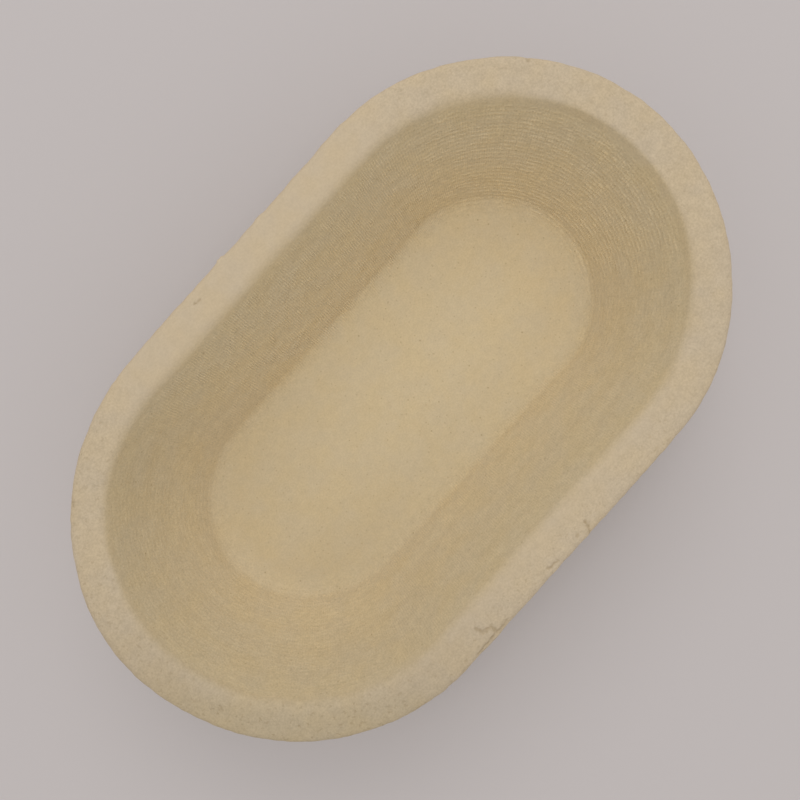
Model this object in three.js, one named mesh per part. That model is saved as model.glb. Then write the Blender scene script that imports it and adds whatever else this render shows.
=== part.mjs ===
// Oval proofing basket, moulded in one piece from wood pulp.
// Sizes are in millimetres, +Z is up, and the origin is the middle of the underside.

import * as THREE from 'three';
import { mergeGeometries } from 'three/addons/utils/BufferGeometryUtils.js';

// Overall size, over the rim
const basketLength = 280;
const basketWidth = 167.5;
const basketHeight = 76;

// The hollow and the pulp round it
const floorWidth = 83.5; // inside, out to where the floor would meet the wall's slope
const floorThickness = 13;
const wallThickness = 16.5; // square to the slope

// Radii of the section's rounded corners
const baseCornerRadius = 15; // outside, from the underside up into the wall
const rimEdgeRadius = 4; // outer edge of the rim
const mouthEdgeRadius = 4.5; // inner edge of the rim
const floorCornerRadius = 7; // inside, from the floor up into the wall

// Facets that stand for the round stretches
const endFacets = 44; // round each half-round end
const cornerFacets = 8; // round each corner of the section

const pulpColour = 0xc0ac8a;
const pulpRoughness = 0.92;

// Sharp corners of half the section, from the middle of the underside, over the rim and down to
// the middle of the floor, each with its rounding. x is the distance from the middle.
function sectionCorners() {
  const rimCentre = new THREE.Vector2(basketWidth / 2 - rimEdgeRadius, basketHeight - rimEdgeRadius);
  const floorCorner = new THREE.Vector2(floorWidth / 2, floorThickness);
  const run = rimCentre.x - floorCorner.x;
  const rise = rimCentre.y - floorCorner.y;
  const reach = Math.hypot(run, rise);

  // Both faces of the wall lean alike: the inner one starts at the floor's corner, and the outer
  // one ends on the rim's rounded edge, a wall's thickness away.
  const lean = Math.acos((wallThickness - rimEdgeRadius) / reach) - Math.atan2(rise, run);
  const slope = Math.tan(lean);
  const outerWidth = (z) => rimCentre.x + rimEdgeRadius / Math.cos(lean) + (z - rimCentre.y) * slope;
  const innerWidth = (z) => floorCorner.x + (z - floorCorner.y) * slope;

  return [
    { at: new THREE.Vector2(0, 0), radius: 0 },
    { at: new THREE.Vector2(outerWidth(0), 0), radius: baseCornerRadius },
    { at: new THREE.Vector2(outerWidth(basketHeight), basketHeight), radius: rimEdgeRadius },
    { at: new THREE.Vector2(innerWidth(basketHeight), basketHeight), radius: mouthEdgeRadius },
    { at: floorCorner, radius: floorCornerRadius },
    { at: new THREE.Vector2(0, floorThickness), radius: 0 },
  ];
}

// An open outline through the corners, each rounded by an arc that touches both of its sides.
function roundedOutline(corners) {
  const outline = new THREE.Path();
  for (let i = 1; i < corners.length - 1; i += 1) {
    const { at, radius } = corners[i];
    const arriving = at.clone().sub(corners[i - 1].at).normalize();
    const leaving = corners[i + 1].at.clone().sub(at).normalize();
    const turn = Math.atan2(arriving.cross(leaving), arriving.dot(leaving));
    const side = Math.sign(turn);
    const setBack = radius * Math.tan(Math.abs(turn) / 2);
    const inward = new THREE.Vector2(-arriving.y, arriving.x).multiplyScalar(side * radius);
    const centre = at.clone().addScaledVector(arriving, -setBack).add(inward);
    const start = Math.atan2(-inward.y, -inward.x);
    outline.absarc(centre.x, centre.y, radius, start, start + turn, side < 0);
  }
  const first = corners[0].at;
  const last = corners[corners.length - 1].at;
  outline.lineTo(last.x, last.y);
  return [first, ...outline.getPoints(cornerFacets / 2)];
}

// One half-round end: the section turned through half a circle about its middle.
function roundEnd(section, side, straightLength) {
  const firstAngle = side > 0 ? 0 : Math.PI;
  const end = new THREE.LatheGeometry(section, endFacets, firstAngle, Math.PI);
  end.rotateX(Math.PI / 2);
  end.translate((side * straightLength) / 2, 0, 0);
  return end.toNonIndexed();
}

// The straight middle: the whole section drawn out along X, without the two faces that meet the ends.
function straightMiddle(section, straightLength) {
  const mirrored = section.slice(1, -1).reverse();
  const wholeSection = new THREE.Shape([
    ...section,
    ...mirrored.map((point) => new THREE.Vector2(-point.x, point.y)),
  ]);
  const run = new THREE.ExtrudeGeometry(wholeSection, { depth: straightLength, bevelEnabled: false });
  const sides = run.groups[1];
  const middle = new THREE.BufferGeometry();
  for (const name of ['position', 'normal', 'uv']) {
    const { array, itemSize } = run.getAttribute(name);
    const kept = array.slice(sides.start * itemSize, (sides.start + sides.count) * itemSize);
    middle.setAttribute(name, new THREE.BufferAttribute(kept, itemSize));
  }
  const drawnAlongX = new THREE.Matrix4().makeBasis(
    new THREE.Vector3(0, 1, 0),
    new THREE.Vector3(0, 0, 1),
    new THREE.Vector3(1, 0, 0),
  );
  middle.applyMatrix4(drawnAlongX);
  middle.translate(-straightLength / 2, 0, 0);
  return middle;
}

// The whole basket is one closed wall: floor, sloping sides and rim are the same moulding.
function basketShell() {
  const section = roundedOutline(sectionCorners());
  const straightLength = basketLength - basketWidth;
  const shell = mergeGeometries([
    roundEnd(section, 1, straightLength),
    straightMiddle(section, straightLength),
    roundEnd(section, -1, straightLength),
  ]);
  const pulp = new THREE.MeshStandardMaterial({
    color: pulpColour,
    roughness: pulpRoughness,
    metalness: 0,
  });
  const mesh = new THREE.Mesh(shell, pulp);
  mesh.name = 'basket_shell';
  return mesh;
}

const proofingBasket = new THREE.Group();
proofingBasket.add(basketShell());

export default proofingBasket;
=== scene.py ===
import math
from types import SimpleNamespace

import bmesh
import bpy
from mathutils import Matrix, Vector, geometry, noise


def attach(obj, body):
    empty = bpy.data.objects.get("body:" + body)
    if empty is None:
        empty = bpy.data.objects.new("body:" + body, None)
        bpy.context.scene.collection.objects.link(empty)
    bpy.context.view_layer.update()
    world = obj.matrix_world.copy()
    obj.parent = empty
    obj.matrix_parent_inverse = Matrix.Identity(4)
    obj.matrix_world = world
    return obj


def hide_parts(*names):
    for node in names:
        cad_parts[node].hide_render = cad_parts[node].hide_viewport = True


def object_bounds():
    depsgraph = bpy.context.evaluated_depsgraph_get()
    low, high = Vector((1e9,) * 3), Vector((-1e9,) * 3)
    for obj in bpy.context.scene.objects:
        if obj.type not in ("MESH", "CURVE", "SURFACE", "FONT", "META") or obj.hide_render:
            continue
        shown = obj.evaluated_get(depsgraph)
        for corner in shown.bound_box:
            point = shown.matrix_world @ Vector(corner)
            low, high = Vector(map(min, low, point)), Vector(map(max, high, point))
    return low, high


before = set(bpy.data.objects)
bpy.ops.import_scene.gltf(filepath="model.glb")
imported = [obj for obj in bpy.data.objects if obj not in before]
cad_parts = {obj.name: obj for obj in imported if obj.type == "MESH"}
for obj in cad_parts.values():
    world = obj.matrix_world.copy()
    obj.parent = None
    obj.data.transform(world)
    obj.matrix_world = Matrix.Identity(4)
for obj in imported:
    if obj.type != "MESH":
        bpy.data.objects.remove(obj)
cadLow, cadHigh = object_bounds()
scene = bpy.context.scene

# metres all through; the overall size is the frame's own
basketLength = cadHigh.x - cadLow.x
basketWidth = cadHigh.y - cadLow.y
basketHeight = cadHigh.z - cadLow.z
halfStraight = (basketLength - basketWidth) / 2  # the plan is a slot: straight sides, half-round ends
print("frame loaded", [round(side, 4) for side in cadHigh - cadLow])

# the section, from the middle of the underside, over the rim, to the middle of the floor
shellSection = {
    "floorWidth": 0.081,  # inside, out to where the floor would meet the slope
    "floorThickness": 0.013,
    "wallThickness": 0.015,  # square to the slope
    "baseCorner": 0.015,  # radii of the rounded corners
    "rimEdge": 0.003,
    "mouthEdge": 0.005,
    "floorCorner": 0.010,
    "undersideRow": 0.006,  # how far apart the mesh rows lie on each stretch
    "outsideRow": 0.0022,
    "rimRow": 0.0007,
    "insideRow": 0.0012,
    "floorRow": 0.003,
    "column": 0.0015,  # how far apart the columns lie round the rim
    "samePlace": 1e-6,  # points closer than this are one
}


def sectionCorners():
    # distance from the middle, height, corner radius, spacing of the rows round the corner
    s = shellSection
    rimX = basketWidth / 2 - s["rimEdge"]
    rimZ = basketHeight - s["rimEdge"]
    floorX = s["floorWidth"] / 2
    run = rimX - floorX
    climb = rimZ - s["floorThickness"]
    lean = math.acos((s["wallThickness"] - s["rimEdge"]) / math.hypot(run, climb)) - math.atan2(climb, run)
    slope = math.tan(lean)  # both faces of the wall lean alike
    foot = rimX + s["rimEdge"] / math.cos(lean) - rimZ * slope
    mouth = floorX + (basketHeight - s["floorThickness"]) * slope
    return [
        (0, 0, 0, s["undersideRow"]),
        (foot, 0, s["baseCorner"], s["outsideRow"]),
        (foot + basketHeight * slope, basketHeight, s["rimEdge"], s["rimRow"]),
        (mouth, basketHeight, s["mouthEdge"], s["rimRow"]),
        (floorX, s["floorThickness"], s["floorCorner"], s["insideRow"]),
        (0, s["floorThickness"], 0, s["floorRow"]),
    ]


def sectionStations(corners):
    # how far along the section each rounded corner starts and ends
    stations = []
    travelled = 0.0
    lastCut = 0.0
    for before, here, after in zip(corners, corners[1:], corners[2:]):
        arriving = Vector(here[:2]) - Vector(before[:2])
        leaving = Vector(after[:2]) - Vector(here[:2])
        turn = arriving.angle(leaving)
        cut = here[2] * math.tan(turn / 2)
        start = travelled + arriving.length - lastCut - cut
        travelled = start + here[2] * turn
        lastCut = cut
        stations.append({"start": start, "end": travelled, "cut": cut, "turn": turn})
    return stations


corners = sectionCorners()
stations = sectionStations(corners)
baseArc, rimArc, mouthArc, floorArc = stations


def walkSection(bm):
    # the section's edges and points, in order from the middle of the underside
    here = next(v for v in bm.verts if len(v.link_edges) == 1 and v.co.z == 0)
    edge = here.link_edges[0]
    edges = []
    points = [here]
    while edge:
        edges.append(edge)
        here = edge.other_vert(here)
        points.append(here)
        edge = next((e for e in here.link_edges if e != edge), None)
    return edges, points


def drawSection(bm, along):
    points = [bm.verts.new((halfStraight, reach, height)) for reach, height, _, _ in corners]
    for first, second in zip(points, points[1:]):
        bm.edges.new((first, second))
    arcRows = []
    for point, (_, _, radius, row), station in zip(points[1:-1], corners[1:-1], stations):
        arcRows.append(max(4, round(radius * station["turn"] / row)))
        bmesh.ops.bevel(
            bm,
            geom=[point],
            offset=station["cut"],
            offset_type="OFFSET",
            affect="VERTICES",
            segments=arcRows[-1],
            profile=0.5,
            material=-1,
        )
    edges, _ = walkSection(bm)
    straights = []
    position = 0
    for rows in arcRows + [0]:
        straights.append(edges[position])
        position += rows + 1
    rowNames = ("undersideRow", "outsideRow", "rimRow", "insideRow", "floorRow")
    for edge, rowName in zip(straights, rowNames):
        cuts = round(edge.calc_length() / shellSection[rowName]) - 1
        bmesh.ops.subdivide_edges(bm, edges=[edge], cuts=cuts)
    edges, points = walkSection(bm)
    travelled = 0.0
    for edge, point in zip(edges, points):
        point[along] = travelled
        travelled += edge.calc_length()
    points[-1][along] = travelled


def sweepSection(bm):
    # round one end, along half of the straight sides, then mirrored for the other half
    firstEdges = list(bm.edges)
    turned = bmesh.ops.spin(
        bm,
        geom=list(bm.verts) + firstEdges,
        cent=(halfStraight, 0, 0),
        axis=(0, 0, 1),
        angle=-math.pi,
        steps=round(math.pi * basketWidth / 2 / shellSection["column"]),
    )
    lastEdges = [item for item in turned["geom_last"] if isinstance(item, bmesh.types.BMEdge)]
    drawn = bmesh.ops.extrude_edge_only(bm, edges=firstEdges + lastEdges)
    farVerts = {item for item in drawn["geom"] if isinstance(item, bmesh.types.BMVert)}
    bmesh.ops.translate(bm, vec=(-halfStraight, 0, 0), verts=list(farVerts))
    longEdges = [e for v in farVerts for e in v.link_edges if e.other_vert(v) not in farVerts]
    cuts = round(halfStraight / shellSection["column"]) - 1
    bmesh.ops.subdivide_edges(bm, edges=longEdges, cuts=cuts, use_grid_fill=True)
    everything = list(bm.verts) + list(bm.edges) + list(bm.faces)
    bmesh.ops.mirror(bm, geom=everything, axis="X", merge_dist=shellSection["samePlace"])
    bmesh.ops.remove_doubles(bm, verts=bm.verts, dist=shellSection["samePlace"])
    bmesh.ops.recalc_face_normals(bm, faces=bm.faces)


def aroundRim(point):
    # distance round the wall from the middle of a long side, at about half the wall's height
    past = max(0.0, abs(point.x) - halfStraight)
    turn = math.atan2(past, abs(point.y)) if past else 0.0
    return math.copysign(min(abs(point.x), halfStraight) + basketWidth / 3 * turn, point.x)


def outward(point):
    # level direction away from the centre line, and the distance from it
    past = math.copysign(max(0.0, abs(point.x) - halfStraight), point.x)
    away = Vector((past, point.y, 0))
    return away.normalized(), away.length


def softStep(value, start, end):
    share = min(1.0, max(0.0, (value - start) / (end - start)))
    return share * share * (3 - 2 * share)


# how the real moulding departs from the clean section
pulpShape = {
    "swells": [  # where the outline stands out (+) or in (-): x, y, push
        (-0.138, 0.020, 0.0008),
        (-0.112, 0.062, -0.0004),
        (-0.072, 0.083, -0.0009),
        (0.010, 0.084, -0.0004),
        (0.110, 0.064, -0.0005),
        (0.140, 0.000, 0.0004),
        (0.120, -0.054, -0.0005),
        (0.034, -0.084, 0.0002),
        (-0.035, -0.084, 0.0002),
        (-0.114, -0.061, 0.0001),
    ],
    "mouthSwells": [  # the same for the mouth
        (-0.098, 0.054, 0.0016),
        (-0.125, 0.008, 0.0009),
        (0.126, 0.010, 0.0001),
        (0.085, 0.062, -0.0003),
        (0.000, 0.070, 0.0003),
        (0.000, -0.070, -0.0004),
        (0.085, -0.063, -0.0005),
    ],
    "floorSwells": [  # and for the floor's edge
        (-0.078, -0.034, -0.0022),
        (-0.025, -0.041, -0.0013),
        (0.030, -0.041, -0.0013),
    ],
    "sharpMouth": [  # where the mouth's edge is sharper, and by what share
        (0.120, 0.020, 0.50),
        (0.122, -0.022, 0.50),
        (-0.113, 0.040, 0.50),
    ],
    "swellReach": 0.030,
    "mouthFade": (0.1, 0.6),  # the mouth's swells set in between these shares of the height
    "mouthBelly": 1.5,  # and are this much fuller halfway up
    "floorFade": (0.2, 0.6),  # the floor's swells end between these
    "floorStart": (0.012, 0.036),  # and set in between these distances from the middle
    "sagTowards": (-0.744, -0.668),  # the rim falls outward on this side
    "sagSpread": (0.45, 1.0),  # from none to all of the fall, as the cosine of the bearing
    "sag": 0.20,
    "bentHeights": (0.6, 0.97),  # the wall follows the rim's fall between these shares
    "dome": 0.0008,  # how far the rim's top drops at its outer edge
    "domeReach": 0.006,
    "edgeRag": 0.00018,  # raggedness of the rim's outer edge
    "edgeRagSizes": (0.0026, 0.0078),
    "broadRag": 0.6,  # share of the broader one
    "rimLump": 0.00010,
    "rimLumpSize": 0.006,
    "wallLump": 0.00018,
    "wallLumpSize": (0.016, 0.007),  # round the wall, up the slope
    "floorLump": 0.00008,
    "floorLumpSize": 0.022,
    "outsideLump": 0.00030,
    "outsideLumpSizes": (0.010, 0.010 / 2.7),
    "fineLump": 0.5,  # share of the smaller one
}

# damage to the rim: lines in plan, half width, depth; tufts that stand out have a depth below 0
rimCracks = [
    {
        "path": [(-0.0440, -0.0756), (-0.0434, -0.0784), (-0.0398, -0.0793), (-0.0399, -0.0815)],
        "width": 0.0007,
        "depth": 0.0006,
    },
    {
        "path": [(-0.0340, -0.0823), (-0.0385, -0.0824), (-0.0456, -0.0825), (-0.0503, -0.0828)],
        "width": 0.0005,
        "depth": 0.0006,
    },
    {"path": [(-0.0104, -0.0806), (-0.0056, -0.0817)], "width": 0.0004, "depth": 0.0006},
    {"path": [(0.0117, -0.0790), (0.0110, -0.0812), (0.0099, -0.0834)], "width": 0.0005, "depth": 0.0006},
    {"path": [(0.0055, -0.0806), (0.0062, -0.0803)], "width": 0.0005, "depth": 0.0004},
    {"path": [(-0.0246, 0.0792), (-0.0217, 0.0785)], "width": 0.0003, "depth": 0.0005},
    {"path": [(-0.1092, 0.0635), (-0.1082, 0.0646)], "width": 0.0008, "depth": 0.0006},
    {"path": [(0.0130, 0.0834), (0.0160, 0.0836)], "width": 0.0009, "depth": -0.0004},
    {"path": [(-0.0072, 0.0835), (-0.0052, 0.0838)], "width": 0.0008, "depth": -0.0006},
    {"path": [(0.1226, 0.0480), (0.1234, 0.0488)], "width": 0.0007, "depth": 0.0005},
]
crackEdge = {
    "wander": 0.0004,  # how far a crack strays from its line
    "wavesInMetre": 900,
    "fibre": 0.0012,  # size of the fibres that break it up
    "depthAround": (0.7, 0.5),  # share of the full depth, and how much it varies
    "besideWidths": 3,  # a point is beside a crack within this many half widths of it
    "longest": 0.012,  # no crack reaches further than this from its middle
}


def crackDistance(place, crack):
    # distance in plan from a point to the crack's line, made ragged
    spot = place.to_2d()
    waves = place * crackEdge["wavesInMetre"]
    spot.x += crackEdge["wander"] * noise.noise(waves)
    spot.y += crackEdge["wander"] * noise.noise(waves + Vector((7, 3, 5)))
    nearest = 1.0
    for first, second in zip(crack["path"], crack["path"][1:]):
        start, end = Vector(first), Vector(second)
        closest, share = geometry.intersect_point_line(spot, start, end)
        if share < 0:
            closest = start
        if share > 1:
            closest = end
        nearest = min(nearest, (spot - closest.to_2d()).length)
    return nearest


def nearCrack(place, crack):
    middle = sum((Vector(point) for point in crack["path"]), Vector((0, 0))) / len(crack["path"])
    if (place.to_2d() - middle).length > crackEdge["longest"]:
        return False
    return crackDistance(place, crack) < crack["width"] * crackEdge["besideWidths"]


def refineRim(bm, along):
    # twice the columns on the rim, and again three times the rows and columns beside each crack
    start = rimArc["start"] - shellSection["outsideRow"]
    end = mouthArc["end"] + shellSection["insideRow"]
    level = shellSection["samePlace"]
    rounds = [
        e
        for e in bm.edges
        if start < e.verts[0][along] < end and abs(e.verts[0][along] - e.verts[1][along]) < level
    ]
    bmesh.ops.subdivide_edges(bm, edges=rounds, cuts=1, use_grid_fill=True)
    beside = {
        v
        for v in bm.verts
        if start < v[along] < end and any(nearCrack(v.co, crack) for crack in rimCracks)
    }
    edges = [e for e in bm.edges if e.verts[0] in beside and e.verts[1] in beside]
    bmesh.ops.subdivide_edges(bm, edges=edges, cuts=2, use_grid_fill=True)


def lump(place, size, seed):
    # soft bumps of one size, between -1 and 1; each seed gives another pattern
    return noise.noise(place / size + Vector((seed, seed * 0.7, -seed)))


def swellPush(place, swells):
    push = 0.0
    for x, y, amount in swells:
        gap = math.hypot(place.x - x, place.y - y) / pulpShape["swellReach"]
        push += amount * math.exp(-gap * gap)
    return push


def zoneShares(station):
    # how far a point belongs to the outside, the rim's edge, the rim, the wall and the floor
    pastFoot = softStep(station, baseArc["end"] - 0.004, baseArc["end"] + 0.012)
    pastEdge = softStep(station, rimArc["start"], rimArc["end"])
    pastMouth = softStep(station, mouthArc["start"], mouthArc["end"])
    pastWall = softStep(station, floorArc["start"], floorArc["end"])
    onEdge = softStep(station, rimArc["start"] - 0.006, rimArc["start"] + 0.002)
    onEdge *= 1 - softStep(station, rimArc["end"] - 0.001, rimArc["end"] + 0.003)
    return SimpleNamespace(
        onOutside=pastFoot - pastEdge,
        onEdge=onEdge,
        onRim=pastEdge - pastMouth,
        onWall=pastMouth - pastWall,
        onFloor=pastWall,
    )


def broadMove(place, station, onEdge):
    # swells, the ragged outer edge, the sharper mouth, and the rim's fall and dome
    s = pulpShape
    away, distance = outward(place)
    height = place.z / basketHeight
    innerSide = softStep(station, rimArc["end"], mouthArc["start"])
    push = swellPush(place, s["swells"]) * (1 - innerSide) * height * height
    fuller = s["mouthBelly"] - (s["mouthBelly"] - 1) * softStep(height, s["mouthFade"][1], 1.0)
    belly = softStep(height, *s["mouthFade"]) * fuller
    push += swellPush(place, s["mouthSwells"]) * innerSide * belly
    nearFloor = softStep(distance, *s["floorStart"]) * (1 - softStep(height, *s["floorFade"]))
    push += swellPush(place, s["floorSwells"]) * innerSide * nearFloor
    fineSize, broadSize = s["edgeRagSizes"]
    rag = lump(place, fineSize, seed=3.1) + s["broadRag"] * lump(place, broadSize, seed=5.7)
    push += onEdge * s["edgeRag"] * rag
    move = away * push
    mouth = corners[3][0]
    if mouthArc["start"] <= station <= mouthArc["end"]:
        toCorner = away * (mouth - distance) + Vector((0, 0, basketHeight - place.z))
        move += toCorner * swellPush(place, s["sharpMouth"])
    sagging = softStep(away.dot(Vector((*s["sagTowards"], 0))), *s["sagSpread"])
    outerRim = max(0.0, 1 - (basketWidth / 2 - distance) / s["domeReach"])
    drop = sagging * s["sag"] * max(0.0, distance - mouth)
    drop += (1 - sagging) * s["dome"] * outerRim * outerRim
    move.z -= drop * softStep(height, *s["bentHeights"])
    return move


def skinLump(place, station, zones):
    # how far the skin stands out (+) or in (-)
    s = pulpShape
    longSize, highSize = s["wallLumpSize"]
    side = math.copysign(5, place.y)  # another pattern on each long side
    onSheet = Vector((aroundRim(place) / longSize, station / highSize, side))
    out = zones.onWall * s["wallLump"] * noise.noise(onSheet)
    out += zones.onRim * s["rimLump"] * lump(place, s["rimLumpSize"], seed=8.3)
    out += zones.onFloor * s["floorLump"] * lump(place, s["floorLumpSize"], seed=11.9)
    coarseSize, fineSize = s["outsideLumpSizes"]
    felt = lump(place, coarseSize, seed=14.2) + s["fineLump"] * lump(place, fineSize, seed=17.4)
    lumpier = 2 - place.z / basketHeight  # towards the foot
    return out + zones.onOutside * s["outsideLump"] * felt * lumpier


def crackShare(place, crack):
    # how much of a crack's depth a point gets
    depth, change = crackEdge["depthAround"]
    share = math.exp(-((crackDistance(place, crack) / crack["width"]) ** 2))
    return share * (depth + change * lump(place, crackEdge["fibre"], seed=21.3))


def shapePulp(bm, along, crackShade):
    bm.normal_update()
    moves = []
    for vert in bm.verts:
        place = vert.co.copy()
        station = vert[along]
        zones = zoneShares(station)
        out = skinLump(place, station, zones)
        cracks = rimCracks if zones.onRim + zones.onEdge > 0.05 else []
        for crack in cracks:
            if nearCrack(place, crack):
                share = crackShare(place, crack)
                out -= crack["depth"] * share
                if crack["depth"] > 0:
                    # painted shade in the crack, kept for the colour
                    vert[crackShade] = max(vert[crackShade], share)
        moves.append(broadMove(place, station, zones.onEdge) + vert.normal * out)
    for vert, move in zip(bm.verts, moves):
        vert.co += move


def makeShell():
    bm = bmesh.new()
    along = bm.verts.layers.float.new("along")
    crackShade = bm.verts.layers.float.new("crackShade")
    drawSection(bm, along)
    sweepSection(bm)
    refineRim(bm, along)
    printMap = bm.loops.layers.uv.new("screenPrint")
    for face in bm.faces:
        face.smooth = True
        for loop in face.loops:
            loop[printMap].uv = (aroundRim(loop.vert.co), loop.vert[along])
    shapePulp(bm, along, crackShade)
    mesh = bpy.data.meshes.new("pulpShell")
    bm.to_mesh(mesh)
    bm.free()
    piece = bpy.data.objects.new("pulpShell", mesh)
    scene.collection.objects.link(piece)
    print("pulp shell", sum(len(face.vertices) - 2 for face in mesh.polygons), "triangles")
    return piece


def addNode(tree, kind, inputs=None, **settings):
    made = tree.nodes.new(kind)
    for name, value in settings.items():
        setattr(made, name, value)
    for name, value in (inputs or {}).items():
        if isinstance(value, bpy.types.NodeSocket):
            tree.links.new(value, made.inputs[name])
        else:
            made.inputs[name].default_value = value
    return made


def calc(tree, operation, *values):
    return addNode(tree, "ShaderNodeMath", dict(enumerate(values)), operation=operation).outputs[0]


def times(tree, product, *others):
    for other in others:
        product = calc(tree, "MULTIPLY", product, other)
    return product


def ramp(tree, value, start, end, low=0.0, high=1.0):
    # low before start, high after end, a smooth step between
    inputs = {"Value": value, "From Min": start, "From Max": end, "To Min": low, "To Max": high}
    return addNode(tree, "ShaderNodeMapRange", inputs, interpolation_type="SMOOTHSTEP").outputs["Result"]


def mixColour(tree, factor, first, second, blend="MIX"):
    inputs = {0: factor, 6: first, 7: second}
    return addNode(tree, "ShaderNodeMix", inputs, data_type="RGBA", blend_type=blend).outputs[2]


def grain(tree, at, size, detail=2.0):
    inputs = {"Vector": at.place, "Scale": 1 / size, "Detail": detail}
    return addNode(tree, "ShaderNodeTexNoise", inputs).outputs["Fac"]


def spots(tree, at, apart, radius, share):
    # round spots in some of the cells of an even scatter; the radius is a share of the spacing
    cells = addNode(tree, "ShaderNodeTexVoronoi", {"Vector": at.place, "Scale": 1 / apart}).outputs
    chosen = ramp(tree, cells["Color"], 1 - share, 1.02 - share)
    return times(tree, ramp(tree, cells["Distance"], radius / 2, radius, 1, 0), chosen)


def ridges(tree, position):
    # one smooth ridge for each whole step
    wave = calc(tree, "SINE", times(tree, position, math.pi))
    return times(tree, wave, wave)


def threads(tree, at, size):
    # thin tangled lines, like felted fibres
    offMiddle = calc(tree, "ABSOLUTE", calc(tree, "SUBTRACT", grain(tree, at, size, 3.0), 0.5))
    return ramp(tree, offMiddle, 0.0, 0.035, 1, 0)


# dried wood pulp: tan inside, paler and pitted on the rim, yellower and felted outside
woodPulp = {
    "insideColour": (0.590, 0.477, 0.299, 1),
    "rimColour": (0.537, 0.428, 0.287, 1),
    "outsideColour": (0.530, 0.420, 0.250, 1),
    # painted shade colour for the pits and cracks, and the specks' own colour
    "crackShadeAndSpeckColour": (0.300, 0.215, 0.110, 1),
    "warmTint": (1.010, 1.000, 0.970, 1),
    "coolTint": (0.990, 1.000, 1.030, 1),
    "roughness": 0.93,
    "ribPitch": 0.00098,  # screen print: ribs down the long sides
    "ribWander": 0.0016,
    "ribWaves": (0.014, 0.0022),  # how long its broad and fine waves are
    "ribPatch": 0.004,  # size of the stretches where the ribs are strong or weak
    "rowPitch": 0.0023,  # and broken rows round the ends
    "rowWander": 0.0020,
    "rowWave": 0.0024,
    "rowDash": 0.0014,
    "rowShare": 0.65,  # some ribs stay among the rows
    "printPatch": 0.009,
    "printSide": (0.50, 0.87),  # deepest on this side, and its painted shade and light strongest
    "printReach": (0.012, 0.034),
    "printStrength": (0.6, 1.8),
    "printDownWall": (0.90, 1.06),  # at the mouth, at the floor
    "printShadeAndLight": (0.957, 0.18),  # painted shade: the tone of the hollows, and how much painted light is added on the ridges
    "printDepth": 0.00016,
    "fibreDepth": 0.00016,
    "fibreGrain": 0.001,
    "fineGrain": 0.00077,
    "broadGrain": 0.0030,
    "floorCalm": 0.33,  # how much weaker the grain is on the floor
    "rimCalm": 0.5,  # and on the smooth stretches of the rim
    "mottle": 0.013,
    "feltLump": 0.0030,
    "feltFibres": (0.0038, 0.0023),
    "pitGrain": 0.0016,
    "pitSpacing": 0.0037,
    "speckSpacing": 0.0028,
    "darkSpeckSpacing": 0.0056,
    "pitDark": 0.35,  # how far each mark goes to the dark colour: painted shade in the pits and cracks, the pulp's own colour in the specks
    "crackDark": 0.6,
    "speckDark": 0.28,
    "darkSpeckDark": 0.5,
    "edgePaintedLight": 1.08,  # painted light on the rim's outer edge, against the shade of its rounding
    "wallShadeTowards": (-0.82, 0.57),  # painted shade on the wall in this corner
}

# where the pulp is lighter or darker, much of it painted light and shade: start, end, tone before, tone
# after
pulpTones = {
    "fineGrain": (0.25, 0.75, 0.925, 1.075),  # on the grain's own value
    "broadGrain": (0.25, 0.75, 0.965, 1.035),
    "mottle": (0.3, 0.7, 0.955, 1.035),
    "felt": (1.5, 4.2, 0.90, 1.08),
    "wall": (mouthArc["end"], floorArc["start"], 1.035, 1.105),  # down the section; painted light, stronger towards the floor, against the shade deep in the basket
    # painted highlight on the inner part of the rim, by the mouth, at the low corner
    "lowMouthHighlight": (rimArc["end"] + 0.003, mouthArc["start"], 1.0, 1.05),
    "wallCornerShade": (0.06, 0.115, 1.0, 0.965),  # painted shade on the wall in one corner; metres in some direction over the plan
    # painted shade on the wall along one long side
    "wallSideShade": (-0.05, -0.02, 0.98, 1.0),
    # painted shade inside, towards one end
    "insideEndShade": (-0.13, 0.0, 0.972, 1.0),
    # painted shade in the floor's corner along one long side
    "floorCorner": (-0.045, -0.015, 0.955, 1.0),
    # painted shade and light along the floor: darker at one end, lighter at the other
    "floorShadeAlong": (-0.09, 0.09, 0.970, 1.045),
    # painted shade on the floor along one long side
    "floorShadeAcross": (-0.03, 0.0, 0.955, 1.0),
    # painted shade on the rim towards the low side, painted light towards the high side
    "lowRimShade": (0.05, 0.115, 1.0, 0.875),
    "highRimLight": (-0.08, 0.03, 1.03, 1.0),
    # painted shade on the rim at both ends
    "rimEndsShade": (0.05, 0.10, 1.0, 0.97),
}


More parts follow.
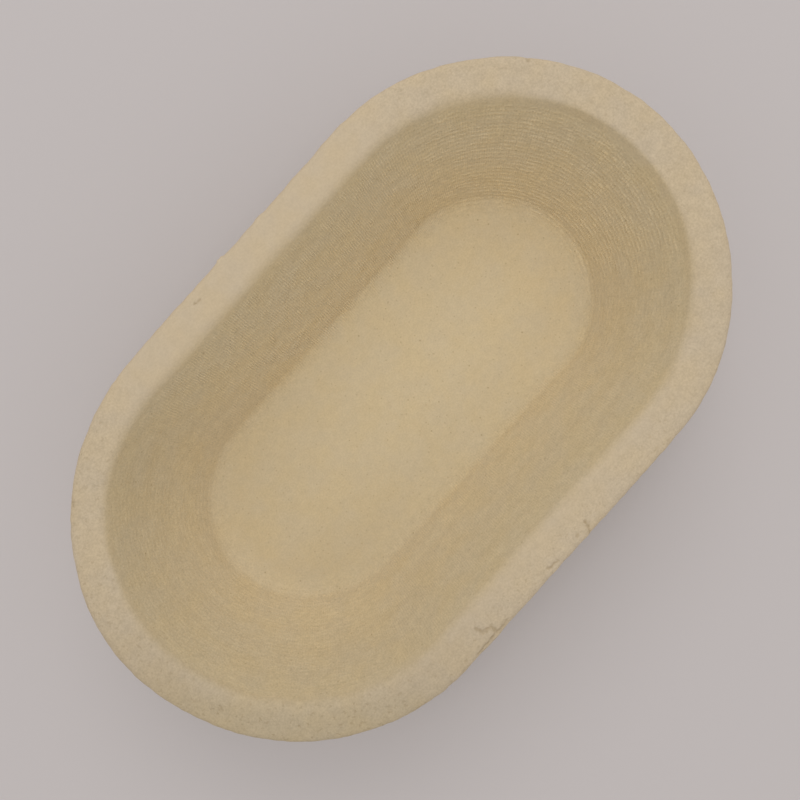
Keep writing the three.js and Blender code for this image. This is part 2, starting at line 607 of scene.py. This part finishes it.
def pulpZones(tree):
    # where a point lies on the basket: distances, and shares from 0 to 1 of each zone
    place = addNode(tree, "ShaderNodeTexCoord").outputs["Object"]
    printMap = addNode(tree, "ShaderNodeUVMap", uv_map="screenPrint").outputs["UV"]
    onMap = addNode(tree, "ShaderNodeSeparateXYZ", {"Vector": printMap}).outputs
    axes = addNode(tree, "ShaderNodeSeparateXYZ", {"Vector": place}).outputs
    section = onMap["Y"]
    pastEdge = ramp(tree, section, rimArc["start"] - 0.004, rimArc["start"] + 0.001)
    pastMouth = ramp(tree, section, mouthArc["start"], mouthArc["end"])
    onTop = ramp(tree, section, rimArc["start"] + 0.003, rimArc["end"])
    inside = ramp(tree, section, mouthArc["start"] + 0.001, mouthArc["end"] + 0.002)
    onFloor = ramp(tree, section, floorArc["start"], floorArc["end"])
    onRim = calc(tree, "SUBTRACT", pastEdge, inside)
    onWall = calc(tree, "SUBTRACT", pastMouth, onFloor)
    belowMouth = ramp(tree, section, mouthArc["end"] - 0.001, mouthArc["end"] + 0.004)
    midSide = ramp(tree, calc(tree, "ABSOLUTE", axes["X"]), 0.05, 0.085, 1, 0)
    smoothSide = ramp(tree, axes["Y"], 0.045, 0.07)  # the rim is smoother along one long side
    smoothInner = ramp(tree, axes["Y"], -0.077, -0.072, 0.0, 0.6)  # and near the mouth on the other
    return SimpleNamespace(
        place=place,
        x=axes["X"],
        y=axes["Y"],
        around=onMap["X"],
        section=section,
        inside=inside,
        onOutside=calc(tree, "SUBTRACT", 1.0, pastEdge),
        onRim=onRim,
        onEdge=calc(tree, "SUBTRACT", pastEdge, onTop),
        smoothRim=times(tree, onRim, midSide, calc(tree, "MAXIMUM", smoothSide, smoothInner)),
        onWall=onWall,
        onPrint=times(tree, onWall, belowMouth),
        onFloor=onFloor,
    )


def towards(tree, at, direction):
    # how far a point lies in a level direction
    inputs = {0: at.place, 1: (*direction, 0)}
    return addNode(tree, "ShaderNodeVectorMath", inputs, operation="DOT_PRODUCT").outputs["Value"]


def wandering(tree, at, position, size, amount):
    return calc(tree, "MULTIPLY_ADD", calc(tree, "SUBTRACT", grain(tree, at, size), 0.5), amount, position)


def screenPrint(tree, at):
    # the woven screen: ribs down the long sides, broken rows round the ends
    w = woodPulp
    broadWave, fineWave = w["ribWaves"]
    ribPlace = wandering(tree, at, at.around, broadWave, w["ribWander"])
    ribPlace = wandering(tree, at, ribPlace, fineWave, w["ribWander"] / 2)
    ribs = ridges(tree, calc(tree, "DIVIDE", ribPlace, w["ribPitch"]))
    ribs = times(tree, ribs, ramp(tree, grain(tree, at, w["ribPatch"]), 0.35, 0.62, 0.25, 0.95))
    rowPlace = wandering(tree, at, at.section, w["rowWave"], w["rowWander"])
    rows = ridges(tree, calc(tree, "DIVIDE", rowPlace, w["rowPitch"]))
    rows = times(tree, rows, ramp(tree, grain(tree, at, w["rowDash"]), 0.38, 0.6, 0.15, 0.88))
    farRound = calc(tree, "ABSOLUTE", at.around)
    atEnds = ramp(tree, farRound, halfStraight - 0.01, halfStraight + 0.03, 0.0, w["rowShare"])
    weave = addNode(tree, "ShaderNodeMix", {0: atEnds, 2: ribs, 3: rows}).outputs[0]
    patch = ramp(tree, grain(tree, at, w["printPatch"]), 0.36, 0.64, 0.5, 1.0)
    strength = ramp(tree, towards(tree, at, w["printSide"]), *w["printReach"], *w["printStrength"])
    downWall = ramp(tree, at.section, mouthArc["end"], floorArc["start"], *w["printDownWall"])
    return times(tree, weave, patch, strength, downWall, at.onPrint)


def rimPits(tree, at, down):
    # pits as bumps, painted darker as painted shade in them; deeper towards the low side, deepest at the
    # low corner
    pits = ramp(tree, grain(tree, at, woodPulp["pitGrain"], 4.0), 0.56, 0.72, 0.0, 0.7)
    roundPits = spots(tree, at, woodPulp["pitSpacing"], radius=0.16, share=0.2)
    pits = calc(tree, "MAXIMUM", pits, roundPits)
    roughRim = calc(tree, "SUBTRACT", at.onRim, at.smoothRim)
    pits = times(tree, pits, roughRim, ramp(tree, down, -0.06, 0.08, 0.6, 1.0))
    return times(tree, pits, ramp(tree, down, 0.102, 0.117, 1.0, 1.6))


def outsideFelt(tree, at):
    # soft lumps under tangled fibres
    longFibres, shortFibres = (threads(tree, at, size) for size in woodPulp["feltFibres"])
    tangle = calc(tree, "MAXIMUM", longFibres, shortFibres)
    lumps = grain(tree, at, woodPulp["feltLump"], 4.0)
    return times(tree, calc(tree, "MULTIPLY_ADD", lumps, 5.0, tangle), at.onOutside)


def onlyOn(tree, zone, share):
    # the share on the zone, and 1 elsewhere
    return calc(tree, "MULTIPLY_ADD", calc(tree, "SUBTRACT", share, 1.0), zone, 1.0)


def pulpTone(tree, at, down, weave, felt):
    # how much lighter or darker than its zone's colour each point is, painted light and shade among it
    w = woodPulp

    def tone(name, value):
        return ramp(tree, value, *pulpTones[name])

    calmFloor = calc(tree, "MULTIPLY_ADD", at.onFloor, -w["floorCalm"], 1.0)
    calmer = calc(tree, "MULTIPLY_ADD", at.smoothRim, -w["rimCalm"], calmFloor)
    hollow, ridge = w["printShadeAndLight"]
    # where the painted highlight by the mouth goes: the rim at the low corner
    lowMouthHighlight = times(tree, at.onRim, ramp(tree, down, 0.095, 0.112))
    # the floor's corner band, where painted shade goes on one side
    floorCorner = times(tree, at.onFloor, calc(tree, "SUBTRACT", 1.0, at.onFloor), 4.0)
    shares = [
        (calmer, tone("fineGrain", grain(tree, at, w["fineGrain"]))),
        (calmer, tone("broadGrain", grain(tree, at, w["broadGrain"]))),
        # painted light on the wall, stronger towards the floor
        (at.onWall, tone("wall", at.section)),
        # painted shade in the print's hollows, painted light on its ridges
        (at.onPrint, calc(tree, "MULTIPLY_ADD", weave, ridge, hollow)),
        # painted shade on the wall in one corner
        (at.onWall, tone("wallCornerShade", towards(tree, at, w["wallShadeTowards"]))),
        # painted shade on the wall along one long side
        (at.onWall, tone("wallSideShade", at.y)),
        # painted shade inside, towards one end
        (at.inside, tone("insideEndShade", at.x)),
        # painted shade in the floor's corner along one long side
        (floorCorner, tone("floorCorner", at.y)),
        # painted shade and light on the floor, along it and across it
        (at.onFloor, tone("floorShadeAlong", at.x)),
        (at.onFloor, tone("floorShadeAcross", at.y)),
        # painted shade on the rim's low side, painted light on its high side
        (at.onRim, tone("lowRimShade", down)),
        (at.onRim, tone("highRimLight", down)),
        # painted highlight by the mouth at the low corner
        (lowMouthHighlight, tone("lowMouthHighlight", at.section)),
        # painted shade on the rim at both ends
        (at.onRim, tone("rimEndsShade", calc(tree, "ABSOLUTE", at.x))),
        # painted light on the rim's outer edge
        (at.onEdge, w["edgePaintedLight"]),
        (at.onOutside, tone("mottle", grain(tree, at, w["mottle"], 4.0))),
        (at.onOutside, tone("felt", felt)),
    ]
    return times(tree, *(onlyOn(tree, zone, share) for zone, share in shares))


def pulpColour(tree, at, weave, pits, felt, down):
    w = woodPulp
    colour = mixColour(tree, at.inside, w["outsideColour"], w["insideColour"])
    colour = mixColour(tree, at.onRim, colour, w["rimColour"])
    lowCorner = times(tree, at.onRim, ramp(tree, down, 0.095, 0.12, 0.0, 0.5))
    colour = mixColour(tree, lowCorner, colour, w["outsideColour"])
    tint = mixColour(tree, ramp(tree, grain(tree, at, w["mottle"]), 0.3, 0.7), w["warmTint"], w["coolTint"])
    colour = mixColour(tree, 1.0, colour, tint, "MULTIPLY")
    colour = mixColour(tree, 1.0, colour, pulpTone(tree, at, down, weave, felt), "MULTIPLY")
    crackShade = addNode(tree, "ShaderNodeAttribute", attribute_name="crackShade").outputs["Fac"]
    # painted shade in the pits and cracks
    pitAndCrackShade = calc(tree, "MAXIMUM", times(tree, pits, w["pitDark"]), times(tree, crackShade, w["crackDark"]))
    faintSpecks = spots(tree, at, w["speckSpacing"], radius=0.16, share=0.9)
    faintSpecks = times(tree, faintSpecks, at.inside, w["speckDark"])
    darkSpecks = spots(tree, at, w["darkSpeckSpacing"], radius=0.085, share=0.5)
    darkSpecks = times(tree, darkSpecks, at.inside, w["darkSpeckDark"])
    specks = calc(tree, "MAXIMUM", faintSpecks, darkSpecks)
    return mixColour(tree, calc(tree, "MAXIMUM", pitAndCrackShade, specks), colour, w["crackShadeAndSpeckColour"])


def pulpRelief(tree, at, weave, pits, felt):
    printInputs = {"Height": weave, "Distance": woodPulp["printDepth"], "Strength": 1.0}
    printed = addNode(tree, "ShaderNodeBump", printInputs).outputs["Normal"]
    fibre = calc(tree, "SUBTRACT", grain(tree, at, woodPulp["fibreGrain"], 3.0), pits)
    fibre = calc(tree, "MULTIPLY_ADD", felt, 0.8, fibre)
    fibreInputs = {"Height": fibre, "Distance": woodPulp["fibreDepth"], "Strength": 0.6, "Normal": printed}
    return addNode(tree, "ShaderNodeBump", fibreInputs).outputs["Normal"]


def woodPulpMaterial():
    material = bpy.data.materials.new("woodPulp")
    material.use_nodes = True
    tree = material.node_tree
    tree.nodes.clear()
    at = pulpZones(tree)
    down = towards(tree, at, pulpShape["sagTowards"])
    weave = screenPrint(tree, at)
    pits = rimPits(tree, at, down)
    felt = outsideFelt(tree, at)
    shaderInputs = {
        "Base Color": pulpColour(tree, at, weave, pits, felt, down),
        "Roughness": woodPulp["roughness"],
        "Normal": pulpRelief(tree, at, weave, pits, felt),
    }
    shader = addNode(tree, "ShaderNodeBsdfPrincipled", shaderInputs)
    addNode(tree, "ShaderNodeOutputMaterial", {"Surface": shader.outputs["BSDF"]})
    print("wood pulp", len(tree.nodes), "nodes")
    return material


shell = makeShell()
shell.data.materials.append(woodPulpMaterial())
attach(shell, "root")
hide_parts("basket_shell")

# the floor that the basket stands on
tableTop = {"size": 8.0, "colour": (0.541, 0.497, 0.488, 1), "roughness": 0.8}


def makeTable():
    bm = bmesh.new()
    bmesh.ops.create_grid(bm, x_segments=1, y_segments=1, size=tableTop["size"])
    mesh = bpy.data.meshes.new("tableTop")
    bm.to_mesh(mesh)
    bm.free()
    table = bpy.data.objects.new("tableTop", mesh)
    scene.collection.objects.link(table)
    material = bpy.data.materials.new("paleTable")
    material.use_nodes = True
    shader = material.node_tree.nodes["Principled BSDF"]
    shader.inputs["Base Color"].default_value = tableTop["colour"]
    shader.inputs["Roughness"].default_value = tableTop["roughness"]
    mesh.materials.append(material)
    print("table made")


makeTable()

# soft daylight all round, a little stronger from above and from one corner
daylight = {
    "skyColour": (1.0, 1.0, 1.0, 1),
    "skyStrength": 0.60,
    "lampDistance": 3.0,
    "lampSize": 2.0,
    "lamps": {  # name: degrees from +X towards +Y, degrees up, watts
        "windowLight": (44.0, 51.0, 15.0),
        "ceilingLight": (44.0, 88.0, 23.0),
    },
}


def makeLight():
    for name, (bearing, elevation, power) in daylight["lamps"].items():
        lamp = bpy.data.lights.new(name, "AREA")
        lamp.shape = "DISK"
        lamp.size = daylight["lampSize"]
        lamp.energy = power
        level = math.cos(math.radians(elevation))
        eastward = math.cos(math.radians(bearing)) * level
        northward = math.sin(math.radians(bearing)) * level
        fromBasket = Vector((eastward, northward, math.sin(math.radians(elevation))))
        holder = bpy.data.objects.new(name, lamp)
        holder.location = fromBasket * daylight["lampDistance"]
        holder.rotation_euler = fromBasket.to_track_quat("Z", "Y").to_euler()
        scene.collection.objects.link(holder)
    world = bpy.data.worlds.new("softSky")
    world.use_nodes = True
    sky = world.node_tree.nodes["Background"]
    sky.inputs["Color"].default_value = daylight["skyColour"]
    sky.inputs["Strength"].default_value = daylight["skyStrength"]
    scene.world = world
    print("light made")


makeLight()

# straight above the basket, turned so that it lies from lower left to upper right
overhead = {"height": 0.450, "turn": -48.11, "shiftX": -0.0005, "shiftY": 0.0003, "lens": 46.40}


def makeCamera():
    camera = bpy.data.cameras.new("overhead")
    camera.lens = overhead["lens"]
    camera.clip_start = 0.01
    viewer = bpy.data.objects.new("overhead", camera)
    viewer.location = (overhead["shiftX"], overhead["shiftY"], overhead["height"])
    viewer.rotation_euler = (0, 0, math.radians(overhead["turn"]))
    scene.collection.objects.link(viewer)
    scene.camera = viewer
    print("camera made")


makeCamera()
scene.view_settings.view_transform = "Standard"

bpy.context.view_layer.update()
